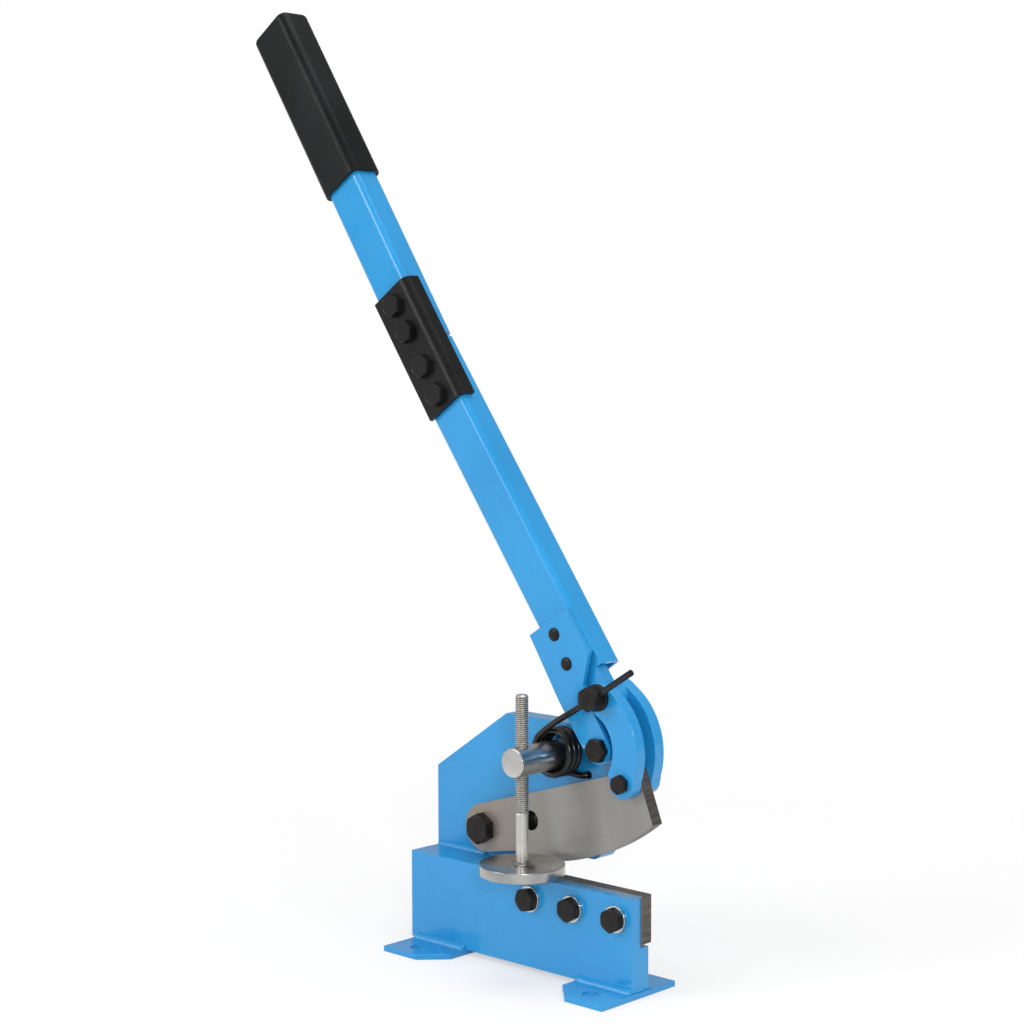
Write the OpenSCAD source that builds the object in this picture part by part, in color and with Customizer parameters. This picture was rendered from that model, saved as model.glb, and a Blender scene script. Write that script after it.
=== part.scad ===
// Small bench lever shear: a lower block on two bolt-down feet, a tall rear plate that carries
// a swinging upper blade, and a long lever that drives the blade through two crescent links.
// Millimetres, +Z up, +X towards the open end of the jaws, -Y towards the operator.
// The origin is the middle of the four foot holes, on the bench surface.

/* [Base] */
// Length of the lower block along X
block_len = 181; // [160:1:220]
// How far the block's middle stands off the feet's middle along X
block_shift = -1.2; // [-3:0.1:1]
// Thickness of the lower block
block_t = 14.6; // [12:0.1:20]
// Height of the lower block above its feet
block_h = 55; // [45:1:70]
// Width of each foot along X
foot_w = 43.5; // [36:0.5:50]
// How far the left foot's outer side is set in, against the right one
left_foot_in = 2.2; // [0:0.1:4]
// Length of each foot along Y
foot_len = 66; // [60:1:90]
// Thickness of the feet
foot_t = 3.5; // [3:0.5:8]
// How far the feet stand out in front of the block
foot_front = 28; // [22:1:40]
// Corner cut on the inner corners of the feet
foot_chamfer = 15; // [5:1:18]
// Diameter of the bench bolt holes
foot_hole_d = 10; // [6:0.5:12]
// Hole centre from the outer side of the right foot
foot_hole_side = 20; // [12:0.5:24]
// Hole centre from the front or rear edge of a foot
foot_hole_edge = 13; // [10:0.5:16]

/* [Rear plate] */
// Thickness of the rear plate
plate_t = 13.2; // [8:0.2:16]
// Underside of the rear plate and of the filler behind the block
plate_z = 30; // [26:1:40]
// Height where the sloping shoulder begins
shoulder_z = 109.2; // [90:0.2:120]
// Distance from the rear plate's left end to the top of the shoulder
shoulder_run = 60; // [30:0.2:80]
// How far the rear plate stands out past the block's left end
plate_out = 1; // [0:0.2:3]
// Length of the filler bar between block and rear plate
filler_len = 65.2; // [50:0.2:68]
// Distance from the block's left end to the throat of the jaws
throat_x = 81.2; // [72:0.2:85]
// Leg of the weld along the filler bar
top_weld = 2.6; // [1:0.1:2.8]
// Leg of the welds behind the block on the feet
foot_weld = 4; // [2:0.5:6]
// Leg of the welds in front of the block on the feet
front_weld = 3.4; // [2:0.1:5]

/* [Blades] */
// Thickness of both blades
blade_t = 8.6; // [6:0.1:10]
// Front lip of the block, ahead of the lower blade
lip_t = 7.4; // [6:0.1:9]
// Length of the lower blade
lower_blade_len = 96; // [80:1:100]
// Height of the lower blade
lower_blade_h = 28.5; // [24:0.5:30]
// How far the lower blade stands above the block
lower_blade_rise = 1; // [0:0.5:2]
// How far the lower blade stands past the block's end
lower_blade_over = 1; // [0:0.5:3]
// Distance from the lower blade's left end to its first bolt
lower_bolt_in = 15.2; // [10:0.2:20]
// Distance between the lower blade's bolts
lower_bolt_pitch = 33.6; // [28:0.1:36]
// Radius of the round end of the upper blade
heel_r = 15; // [13:0.5:16]
// Slope of the upper blade's back at rest, degrees
back_slope = 16.8; // [12:0.1:20]
// Radius of the curved cutting edge
edge_r = 160.3; // [150:0.1:180]
// Diameter of the hole that cuts round bar
bar_hole_d = 12; // [8:0.5:12]

/* [Lever] */
// Lean of the lever to the left of upright at rest, degrees
lever_tilt = 35.6; // [20:0.1:45]
// Lean of the upper tube back from the lower one, degrees
tube_kink = 2.4; // [0:0.1:3]
// Width of the lever tube, seen from the front
tube_w = 30; // [26:0.5:34]
// Depth of the lever tube
tube_d = 20; // [16:0.5:24]
// Wall of the lever tube
tube_wall = 2; // [1.5:0.1:2.5]
// Corner radius of the lever tube
tube_r = 3.5; // [1:0.5:5]
// Length of the lower tube
lower_tube_len = 236; // [180:0.5:260]
// Gap between the two tubes inside the sleeve
tube_gap = 3.6; // [1:0.1:6]
// Distance from the lever pivot to the top of the grip
lever_len = 534.5; // [480:0.5:600]
// Length of the grip
grip_len = 129; // [100:0.5:150]
// Wall of the grip
grip_wall = 2.6; // [2:0.1:4]
// Length of the joint sleeve
sleeve_len = 88; // [80:1:110]
// Thickness of the joint sleeve
sleeve_t = 2.7; // [2:0.1:4]
// How far the sleeve's flanges reach back
sleeve_depth = 12.6; // [9:0.1:18]
// Thickness of the head plate on the front of the tube
head_plate_t = 3; // [2:0.5:4]

/* [Links and spring] */
// Thickness of each crescent link
link_t = 8; // [6:0.5:9]
// Wire of the return spring
wire_d = 3.8; // [3:0.1:4]
// Mean radius of the spring coil
coil_r = 13.2; // [12.8:0.1:13.4]
// Pitch of the spring coil
coil_pitch = 4.25; // [4.25:0.05:4.4]

/* [Hold-down] */
// Diameter of the round cross bar
cross_bar_d = 17.5; // [16:0.5:18]
// Diameter of the pressure disc
disc_d = 51; // [40:0.2:51]
// Thickness of the pressure disc
disc_t = 6.3; // [4:0.1:8]
// Height of the top of the pressure disc at rest
disc_top = 70.9; // [67:0.1:74]
// Top of the threaded rod at rest
rod_top = 171.5; // [165:0.5:190]
// Length of the rod's thread, from its top
rod_thread_len = 70.9; // [62:0.1:75]
// Diameter of the rod below its thread
rod_shank_d = 7.3; // [6.5:0.1:8]

/* [Fasteners] */
// Nominal diameter of most bolts
bolt_d = 8; // [8:1:8]
// Nominal diameter of the blade pivot bolt
pivot_d = 10; // [10:1:10]
// Nominal diameter of the link bolt
link_bolt_d = 6; // [6:1:6]

/* [Hidden] */

// Clearances
sliding_gap = 0.1;
side_gap = 0.2;
running = 0.05;
round_gap = 0.3;
cut_over = 1;
// A round end stands this much inside the straight edges that run into it
tuck = 0.02;

// Sizes of hexagon heads and nuts, across flats and high
m6_af = 10;
m6_head = 4;
m6_nut = 5;
m8_af = 13;
m8_head = 4.6;
m8_nut = 6.5;
m10_af = 17;
m10_head = 6.4;
m10_nut = 8;
washer_d = 16;
washer_t = 1.6;
thin_nut = 2.7;
// A hexagon with a corner at its top, against one with a flat there
corner_up = 30;

// Places along X
left_x = block_shift - block_len / 2;
right_x = block_shift + block_len / 2;
right_foot_x = block_len / 2;
left_foot_x = left_foot_in - block_len / 2;
filler_x = left_x + filler_len;
plate_left = left_x - plate_out;
lower_blade_x = right_x + lower_blade_over - lower_blade_len;
hole_x = right_foot_x - foot_hole_side;

// Layers along Y, from the operator's side backwards
front_face = foot_front - foot_len / 2;
recess_y = front_face + lip_t;
shear_y = recess_y + blade_t;
upper_blade_y = shear_y + sliding_gap;
plate_y = upper_blade_y + blade_t + sliding_gap;
plate_back = plate_y + plate_t;
front_link_y = upper_blade_y - side_gap - link_t;
rear_link_y = plate_y + sliding_gap;
lever_bar_y = upper_blade_y + sliding_gap;
lever_bar_t = blade_t - side_gap;
tube_y = lever_bar_y - tube_wall;
head_plate_y = tube_y - head_plate_t;
hole_y = foot_len / 2 - foot_hole_edge;

// Heights
block_top = foot_t + block_h;
lower_blade_top = block_top + lower_blade_rise;
lower_blade_z = lower_blade_top - lower_blade_h;
recess_z = lower_blade_z - 2;

// Pivots, as X and Z
blade_pivot = [-44.5, 77.3];
lever_pivot = [54, 139.4];
stud_at = [56.8, 171.2];
link_foot = [73.95, 122.45];
cross_bar_at = [17.7, 131.9];
bar_hole_at = [-4.5, 88];
ear_r = 10;

// Lever stations, measured from the lever pivot along the lever
tube_left = -2.8;
tube_start = 42.5;
front_wall_start = 51.5;
joint_s = 280;
head_r = 8.8;
head_screws_at = [[7.8, 53.9], [9.4, 73.1]];
sleeve_start = 234.3;
sleeve_bolt_n = 13.7;
sleeve_bolt_s = [244.4, 265.4, 291.5, 311.4];

// Travel of the lever, and how far the blade and the links turn with it, per degree
lever_travel = 92;
blade_ratio = 0.1942;
link_ratio = 0.746;

function unit(v) = v / norm(v);
function turn(v, a) = [v[0] * cos(a) + v[1] * sin(a), v[1] * cos(a) - v[0] * sin(a)];

// A flat outline in X and Z, given thickness from y0 backwards
module plate(y0, t) {
    translate([0, y0 + t, 0]) rotate([90, 0, 0]) linear_extrude(height = t) children();
}

// A round bar along Y
module bar_y(at, r, y0, y1) {
    translate([at[0], y1, at[1]]) rotate([90, 0, 0]) cylinder(h = y1 - y0, r = r, $fn = 64);
}

// A hexagon along Y, with flats at its top and bottom until spin turns it
module hex_y(at, af, y0, y1, spin = 0) {
    translate([at[0], y1, at[1]]) rotate([90, 0, 0]) rotate(spin)
        cylinder(h = y1 - y0, r = af / 2 / cos(30), $fn = 6);
}

// A hexagon bolt from the front: its head ends at y_seat, its shank at y_end
module bolt_y(at, d, af, head, y_seat, y_end, spin = 0) {
    hex_y(at, af, y_seat - head, y_seat, spin);
    bar_y(at, d / 2, y_seat - cut_over, y_end);
}

// A hexagon nut along Y with a plain bore
module nut_y(at, d, af, y0, h) {
    difference() {
        hex_y(at, af, y0, y0 + h);
        bar_y(at, d / 2, y0 - cut_over, y0 + h + cut_over);
    }
}

// The lever's own frame: X across it, Z up along it from the pivot
module on_lever(kink = 0) {
    translate([lever_pivot[0], 0, lever_pivot[1]])
        rotate([0, -lever_tilt, 0])
            translate([0, 0, joint_s])
                rotate([0, kink, 0])
                    translate([0, 0, -joint_s])
                        children();
}

// A rectangle with round corners, from a corner point
module round_rect(x, y, w, d, r) {
    translate([x + r, y]) square([w - 2 * r, d]);
    translate([x, y + r]) square([w, d - 2 * r]);
    for (cx = [x + r, x + w - r], cy = [y + r, y + d - r]) translate([cx, cy]) circle(r = r, $fn = 32);
}

// The tube's section, grown by g all round
module tube_section(g) {
    round_rect(tube_left - g, tube_y - g, tube_w + 2 * g, tube_d + 2 * g, max(tube_r + g, 0.5));
}

// Feet, drawn from the outer side inwards
module foot_outline() {
    half = foot_len / 2;
    polygon([
        [0, -half], [foot_w - foot_chamfer, -half], [foot_w, foot_chamfer - half],
        [foot_w, half - foot_chamfer], [foot_w - foot_chamfer, half], [0, half]
    ]);
}

module foot(hole_side) {
    difference() {
        linear_extrude(height = foot_t) foot_outline();
        for (y = [-hole_y, hole_y])
            translate([hole_side, y, -cut_over])
                cylinder(h = foot_t + 2 * cut_over, r = foot_hole_d / 2, $fn = 48);
    }
}

module left_foot() {
    color("steelblue") translate([left_foot_x, 0, 0]) foot(-hole_x - left_foot_x);
}

module right_foot() {
    color("steelblue") translate([right_foot_x, 0, 0]) mirror([1, 0, 0]) foot(foot_hole_side);
}

// Lower block with the step that seats the lower blade
lower_bolt_x = [for (i = [0:2]) lower_blade_x + lower_bolt_in + i * lower_bolt_pitch];
lower_bolt_spin = [12, corner_up, corner_up];
lower_bolt_z = lower_blade_z + lower_blade_h / 2;

module lower_block() {
    color("steelblue") difference() {
        translate([left_x, front_face, foot_t]) cube([block_len, block_t, block_h]);
        translate([lower_blade_x, recess_y, recess_z])
            cube([block_len, block_t, block_h]);
        for (x = lower_bolt_x)
            bar_y([x, lower_bolt_z], bolt_d / 2, front_face - cut_over, recess_y + cut_over);
    }
}

module filler_bar() {
    y0 = front_face + block_t;
    color("steelblue") translate([left_x, y0, plate_z])
        cube([filler_len, plate_y - y0, block_top - plate_z]);
}

// Rear plate: the outline, its ear round the lever pivot, and the corner by the jaws
plate_top = lever_pivot[1] + ear_r;
plate_right = 45.5;
jaw_corner_r = 8;
jaw_corner_z = 69.5;
throat = left_x + throat_x;
spring_anchor = [34.5, 120];

module rear_plate_outline() {
    corner = [plate_right - jaw_corner_r, jaw_corner_z + jaw_corner_r];
    ear_low = lever_pivot[1] - sqrt(pow(ear_r, 2) - pow(lever_pivot[0] - plate_right, 2));
    polygon([
        [plate_left, plate_z], [throat, plate_z], [throat, jaw_corner_z - 7],
        [throat + 2, jaw_corner_z - 4.9], [throat + 24, jaw_corner_z - 2.7],
        [throat + 44, jaw_corner_z], [corner[0], jaw_corner_z], corner + [-2, 3],
        [plate_right, corner[1]], [plate_right, ear_low], lever_pivot - [3, 2],
        [lever_pivot[0], plate_top], [plate_left + shoulder_run, plate_top],
        [plate_left, shoulder_z]
    ]);
    translate(lever_pivot) circle(r = ear_r - tuck, $fn = 64);
    translate(corner) circle(r = jaw_corner_r - tuck, $fn = 48);
}

module rear_plate() {
    y0 = plate_y - cut_over;
    y1 = plate_back + cut_over;
    color("steelblue") difference() {
        plate(plate_y, plate_t) rear_plate_outline();
        bar_y(blade_pivot, pivot_d / 2, y0, y1);
        bar_y(lever_pivot, bolt_d / 2, y0, y1);
        bar_y(cross_bar_at, cross_bar_d / 2, y0, y1);
        bar_y(bar_hole_at, bar_hole_d / 2, y0, y1);
        bar_y(spring_anchor, wire_d / 2 + 2 * round_gap, y0, plate_y + anchor_depth);
    }
}

// Weld beads: on top of the filler bar, before and behind the block on both feet, round the
// cross bar
module bead(x0, x1, y, z, leg, side) {
    translate([x0, y, z]) rotate([90, 0, 90]) linear_extrude(height = x1 - x0)
        polygon(side > 0 ? [[0, 0], [leg, 0], [0, leg]] : [[0, 0], [0, leg], [-leg, 0]]);
}

bar_weld_t = 3;

module frame_welds() {
    color("steelblue") {
        bead(left_x, left_x + 42, plate_y, block_top, top_weld, -1);
        for (x = [[left_foot_x, left_foot_x + foot_w], [right_foot_x - foot_w, right_x]]) {
            bead(x[0], x[1], front_face + block_t, foot_t, foot_weld, 1);
            bead(x[0], x[1], front_face, foot_t, front_weld, -1);
        }
        translate([cross_bar_at[0], plate_back, cross_bar_at[1]]) rotate([-90, 0, 0])
            rotate_extrude($fn = 64)
                polygon([[cross_bar_d / 2, 0], [cross_bar_d / 2 + bar_weld_t, 0],
                    [cross_bar_d / 2, bar_weld_t]]);
    }
}

// Lower blade and its three bolts
module lower_blade() {
    color("darkgray") difference() {
        translate([lower_blade_x, recess_y, lower_blade_z])
            cube([lower_blade_len, blade_t, lower_blade_h]);
        for (x = lower_bolt_x)
            bar_y([x, lower_bolt_z], bolt_d / 2, recess_y - cut_over, shear_y + cut_over);
    }
}

module lower_blade_bolts() {
    color("dimgray") for (i = [0:2])
        bolt_y([lower_bolt_x[i], lower_bolt_z], bolt_d, m8_af, m8_head, front_face - washer_t,
            shear_y - side_gap, lower_bolt_spin[i]);
}

module lower_blade_washers() {
    color("silver") for (x = lower_bolt_x) difference() {
        bar_y([x, lower_bolt_z], washer_d / 2, front_face - washer_t, front_face);
        bar_y([x, lower_bolt_z], bolt_d / 2, front_face - washer_t - cut_over, front_face + cut_over);
    }
}

// Pivot bolts of the blade and of the lever, each with a nut behind the rear plate
module blade_pivot_bolt() {
    color("dimgray") bolt_y(blade_pivot, pivot_d, m10_af, m10_head, upper_blade_y - side_gap,
        plate_back + m10_nut + 2, corner_up);
}

module blade_pivot_nut() {
    color("dimgray") nut_y(blade_pivot, pivot_d, m10_af, plate_back, m10_nut);
}

module lever_pivot_bolt() {
    color("dimgray") bolt_y(lever_pivot, bolt_d, m8_af, m8_head, head_plate_y - side_gap,
        plate_back + m8_nut + 2);
}

module lever_pivot_nut() {
    color("dimgray") nut_y(lever_pivot, bolt_d, m8_af, plate_back, m8_nut);
}

// Hold-down: cross bar, threaded rod and pressure disc
rod_y = front_face - 15.5;
cross_bar_end = front_face - 24;
collar_h = 2;

module hold_down_bar() {
    color("silver") difference() {
        bar_y(cross_bar_at, cross_bar_d / 2, cross_bar_end, plate_back + bar_weld_t);
        translate([cross_bar_at[0], rod_y, cross_bar_at[1] - cross_bar_d])
            cylinder(h = 2 * cross_bar_d, r = bolt_d / 2 + running, $fn = 48);
    }
}

module hold_down_screw() {
    z0 = disc_top - disc_t;
    color("lightgray") translate([cross_bar_at[0], rod_y, 0]) {
        translate([0, 0, z0]) cylinder(h = rod_top - z0, r = rod_shank_d / 2, $fn = 48);
        translate([0, 0, rod_top - rod_thread_len])
            cylinder(h = rod_thread_len, r = bolt_d / 2, $fn = 48);
    }
}

module hold_down_disc() {
    color("gainsboro") translate([cross_bar_at[0], rod_y, disc_top - disc_t]) difference() {
        union() {
            cylinder(h = disc_t, r = disc_d / 2, $fn = 96);
            translate([0, 0, disc_t]) cylinder(h = collar_h, r1 = 6.2, r2 = 4.4, $fn = 48);
        }
        translate([0, 0, -cut_over])
            cylinder(h = disc_t + collar_h + 2 * cut_over, r = rod_shank_d / 2, $fn = 48);
    }
}

// Upper blade: round end, straight back, curved cutting edge, sloping nose
edge_centre = [-9.4, 224.4];
blade_nose = [90.8, 99.9];
back_end_x = 79;
heel_x = -11.5;
heel_z = 67.5;
below_edge = 50;

function back_z(x) = blade_pivot[1] + heel_r / cos(back_slope)
    + (x - blade_pivot[0]) * tan(back_slope);

// Where the link bolt stands against the blade once the lever has turned by a degrees
function bolt_drift(a) =
    let (stud = lever_pivot + turn(stud_at - lever_pivot, a))
    let (bolt = stud + turn(link_foot - stud_at, a * (1 - link_ratio)))
    blade_pivot + turn(bolt - blade_pivot, -a * blade_ratio);

module upper_blade_outline() {
    start = blade_pivot + heel_r * [-sin(back_slope), cos(back_slope)];
    under = blade_pivot + heel_r * [sin(11), -cos(11)];
    translate(blade_pivot) circle(r = heel_r - tuck, $fn = 96);
    difference() {
        polygon([
            blade_pivot + [1, 2], under, [heel_x - 6, heel_z - 0.2], [heel_x, heel_z],
            [heel_x, below_edge + 5], [blade_nose[0], below_edge + 5], blade_nose,
            [back_end_x, back_z(back_end_x)], start
        ]);
        difference() {
            translate([heel_x, below_edge])
                square([blade_nose[0] - heel_x + cut_over, blade_nose[1] - below_edge]);
            translate(edge_centre) circle(r = edge_r, $fn = 360);
        }
    }
}

module upper_blade() {
    window_r = link_bolt_d / 2 + 0.5;
    y0 = upper_blade_y - cut_over;
    y1 = upper_blade_y + blade_t + cut_over;
    color("darkgray") difference() {
        plate(upper_blade_y, blade_t) upper_blade_outline();
        bar_y(blade_pivot, pivot_d / 2 + running, y0, y1);
        bar_y(bar_hole_at, bar_hole_d / 2, y0, y1);
        for (i = [0:11]) bar_y(bolt_drift(i * lever_travel / 11), window_r, y0, y1);
    }
}

// Crescent links: a band between two circles, with a round eye at each end. A straight edge
// tangent to both joins the arc to the top eye, and a corner fills the cleft beside the foot eye;
// that corner starts inside the inner circle, which is cut away afterwards.
outer_centre = [41.9, 138.6];
outer_r = 43.7;
inner_centre = [44.3, 139.8];
inner_r = 22.8;
top_eye_r = 8.5;
foot_eye_r = 9;
cleft_inside = 2;
cleft_turn = 4;

function toward(a) = [cos(a), sin(a)];
function heading(v) = atan2(v[1], v[0]);

// Where a line from a point outside touches a circle, on the side that turn_side names
function touch(from, centre, r, turn_side) =
    centre + r * toward(heading(from - centre) + turn_side * acos(r / norm(from - centre)));

module link_outline() {
    reach = 2 * outer_r;
    foot_angle = heading(link_foot - inner_centre);
    to_stud = stud_at - outer_centre;
    tangent = heading(to_stud) - acos((outer_r - top_eye_r) / norm(to_stud));
    cleft = inner_centre + (inner_r - cleft_inside) * toward(foot_angle + cleft_turn);
    difference() {
        union() {
            intersection() {
                translate(outer_centre) circle(r = outer_r, $fn = 180);
                polygon([
                    inner_centre, inner_centre + reach * toward(foot_angle),
                    inner_centre + reach * toward((foot_angle + tangent) / 2),
                    outer_centre + reach * toward(tangent), stud_at
                ]);
            }
            polygon([outer_centre + (outer_r - tuck) * toward(tangent),
                stud_at + (top_eye_r - tuck) * toward(tangent), stud_at]);
            polygon([cleft, touch(cleft, link_foot, foot_eye_r - tuck, 1), link_foot]);
        }
        translate(inner_centre) circle(r = inner_r, $fn = 120);
    }
    translate(stud_at) circle(r = top_eye_r, $fn = 64);
    translate(link_foot) circle(r = foot_eye_r, $fn = 64);
}

module link(y0) {
    color("steelblue") difference() {
        plate(y0, link_t) link_outline();
        bar_y(stud_at, bolt_d / 2 + running, y0 - cut_over, y0 + link_t + cut_over);
        bar_y(link_foot, link_bolt_d / 2, y0 - cut_over, y0 + link_t + cut_over);
    }
}

module front_link() {
    link(front_link_y);
}

module rear_link() {
    link(rear_link_y);
}

module link_bolt() {
    color("dimgray") bolt_y(link_foot, link_bolt_d, m6_af, m6_head, front_link_y,
        rear_link_y + link_t + m6_nut + 1, corner_up);
}

module link_nut() {
    color("dimgray") nut_y(link_foot, link_bolt_d, m6_af, rear_link_y + link_t, m6_nut);
}

// Head plate on the front of the lever, drawn in the lever's own frame
module head_plate() {
    head_right = tube_left + tube_w - 0.7;
    y0 = head_plate_y - cut_over;
    y1 = tube_y + cut_over;
    color("steelblue") difference() {
        on_lever() plate(head_plate_y, head_plate_t) {
            circle(r = head_r - tuck, $fn = 64);
            polygon([
                [-8, 82.7], [-10.5, 39], [-10.3, 7], [-7.3, -4.1], [1, -3], [head_r, 0],
                [head_r + 0.2, 18], [11.7, 37.3], [head_right, front_wall_start - 0.8],
                [head_right, 81]
            ]);
        }
        bar_y(lever_pivot, bolt_d / 2 + running, y0, y1);
        on_lever() for (at = head_screws_at) bar_y(at, bolt_d / 2, y0, y1);
    }
}

// Flat bar inside the lower tube; it takes the pivot bolt and the stud between the links
bar_top = 110;
bar_inset = max(tube_r - tube_wall, 0) + side_gap;

module lever_bar() {
    y0 = lever_bar_y - cut_over;
    y1 = lever_bar_y + lever_bar_t + cut_over;
    left = tube_left + tube_wall + bar_inset;
    right = tube_left + tube_w - tube_wall - bar_inset;
    stud = turn(stud_at - lever_pivot, lever_tilt);
    color("steelblue") difference() {
        on_lever() plate(lever_bar_y, lever_bar_t) {
            translate(stud) circle(r = top_eye_r, $fn = 64);
            circle(r = head_r - tuck, $fn = 64);
            polygon([
                [left, bar_top], [left, 34], [-head_r, 12], [-head_r, 0],
                (head_r - cut_over) * [cos(60), -sin(60)],
                stud - (top_eye_r - cut_over) * [cos(60), sin(60)], stud - [1, 2],
                [right, stud[1]], [right, bar_top]
            ]);
        }
        bar_y(lever_pivot, bolt_d / 2 + running, y0, y1);
        bar_y(stud_at, bolt_d / 2, y0, y1);
        on_lever() for (at = head_screws_at) bar_y(at, bolt_d / 2, y0, y1);
    }
}

// Two screws from behind clamp the tube, the bar and the head plate; their ends show in front
screw_end = 1.6;

module head_screws() {
    back = tube_y + tube_d;
    color("dimgray") on_lever() for (at = head_screws_at) {
        bar_y(at, bolt_d / 2, head_plate_y - screw_end, back + cut_over);
        hex_y(at, m8_af, back, back + m8_head);
    }
}

// Spring stud: a hexagon head, a cross-drilled neck, a round flange and a shank through the links
flange_r = 8;
flange_t = 2.8;
neck_len = 4.6;
neck_r = 5.5;
stud_head = 3.6;
stud_tail_r = 3;
stud_seat = front_link_y - side_gap;
neck_y = stud_seat - flange_t - neck_len;
leg_angle = 32;
wire_play = 0.3;
wire_y = neck_y + neck_len / 2;

module spring_stud() {
    link_back = rear_link_y + link_t + side_gap;
    color("dimgray") difference() {
        union() {
            bar_y(stud_at, flange_r, stud_seat - flange_t, stud_seat);
            bar_y(stud_at, neck_r, neck_y - cut_over, stud_seat - cut_over);
            hex_y(stud_at, m8_af, neck_y - stud_head, neck_y, corner_up);
            bar_y(stud_at, bolt_d / 2, stud_seat - cut_over, link_back);
            bar_y(stud_at, stud_tail_r, link_back - cut_over, link_back + thin_nut + 0.8);
        }
        translate([stud_at[0], wire_y, stud_at[1]]) rotate([0, 90 - leg_angle, 0])
            cylinder(h = 4 * neck_r, r = wire_d / 2 + wire_play, center = true, $fn = 32);
    }
}

module stud_nut() {
    color("dimgray") nut_y(stud_at, 2 * stud_tail_r, m6_af, rear_link_y + link_t + side_gap,
        thin_nut);
}

// Lever tubes; the lower one's front wall is cut back above the front link
module lower_tube() {
    y0 = tube_y - cut_over;
    y1 = tube_y + tube_d + cut_over;
    color("steelblue") difference() {
        on_lever() translate([0, 0, tube_start]) linear_extrude(height = lower_tube_len) difference() {
            tube_section(0);
            tube_section(-tube_wall);
        }
        on_lever() translate([tube_left - cut_over, y0, tube_start - cut_over])
            cube([tube_w + 2 * cut_over, tube_wall + cut_over, front_wall_start - tube_start + cut_over]);
        on_lever() for (at = head_screws_at) bar_y(at, bolt_d / 2, y0, y1);
        on_lever(tube_kink / 2) for (s = sleeve_bolt_s)
            bar_y([sleeve_bolt_n, s], bolt_d / 2, y0, y1);
    }
}

upper_tube_start = tube_start + lower_tube_len + tube_gap;

module upper_tube() {
    y0 = tube_y - cut_over;
    y1 = tube_y + tube_d + cut_over;
    color("steelblue") difference() {
        on_lever(tube_kink) translate([0, 0, upper_tube_start])
            linear_extrude(height = lever_len - grip_wall - upper_tube_start) difference() {
                tube_section(0);
                tube_section(-tube_wall);
            }
        on_lever(tube_kink / 2) for (s = sleeve_bolt_s)
            bar_y([sleeve_bolt_n, s], bolt_d / 2, y0, y1);
    }
}

// Sleeve over the tube joint: an angle round the tubes' front and right side, with four bolts. Its
// side stands off the tubes far enough for their kink.
sleeve_gap = 0.5;
sleeve_half = max(joint_s - sleeve_start, sleeve_start + sleeve_len - joint_s);
sleeve_side_gap = side_gap + ceil(10 * sleeve_half * tan(tube_kink / 2)) / 10;
sleeve_y = tube_y - sleeve_gap - sleeve_t;

sleeve_left = -1.4;

module sleeve_section(t) {
    round_rect(tube_left - sleeve_side_gap - t, tube_y - sleeve_gap - t,
        tube_w + 2 * (sleeve_side_gap + t), 2 * tube_d, tube_r + t);
}

module joint_sleeve() {
    color("#202020") on_lever(tube_kink / 2) difference() {
        translate([0, 0, sleeve_start]) linear_extrude(height = sleeve_len) difference() {
            sleeve_section(sleeve_t);
            sleeve_section(0);
            translate([tube_left - tube_w, sleeve_y + sleeve_depth]) square([3 * tube_w, 3 * tube_d]);
            translate([sleeve_left - tube_w, sleeve_y - cut_over]) square([tube_w, 3 * tube_d]);
        }
        for (s = sleeve_bolt_s)
            bar_y([sleeve_bolt_n, s], bolt_d / 2, sleeve_y - cut_over, tube_y + cut_over);
    }
}

module sleeve_bolts() {
    color("dimgray") on_lever(tube_kink / 2) for (s = sleeve_bolt_s)
        bolt_y([sleeve_bolt_n, s], bolt_d, m8_af, m8_head, sleeve_y, tube_y + tube_d + m8_nut + 2);
}

module sleeve_nuts() {
    color("dimgray") on_lever(tube_kink / 2) for (s = sleeve_bolt_s)
        nut_y([sleeve_bolt_n, s], bolt_d, m8_af, tube_y + tube_d, m8_nut);
}

module grip() {
    color("#161616") on_lever(tube_kink) difference() {
        translate([0, 0, lever_len - grip_len]) linear_extrude(height = grip_len)
            tube_section(grip_wall);
        translate([0, 0, lever_len - grip_len - cut_over])
            linear_extrude(height = grip_len - grip_wall + cut_over) tube_section(0);
    }
}

// Return spring: its foot bends into the rear plate, the coil lies round the cross bar and
// its long leg runs up through the stud
anchor_depth = 7;
anchor_bend = 4;
coil_shift = [0.4, 1.2];
coil_centre = cross_bar_at + coil_shift;
coil_start = -94;
coil_sweep = 1218;
coil_y = plate_y - 0.4 - wire_d / 2;
rings_per_turn = 8;
wire_sides = 6;
free_end = 34.4;
coil_steps = ceil(coil_sweep / 360 * rings_per_turn);
leg_steps = 8;

function coil_point(a) = [
    coil_centre[0] + coil_r * cos(coil_start - a),
    coil_y - coil_pitch * a / 360,
    coil_centre[1] + coil_r * sin(coil_start - a)
];

function bezier(p, t) = pow(1 - t, 3) * p[0] + 3 * pow(1 - t, 2) * t * p[1]
    + 3 * (1 - t) * pow(t, 2) * p[2] + pow(t, 3) * p[3];

function in_plane(at, y) = [at[0], y, at[1]];

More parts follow.
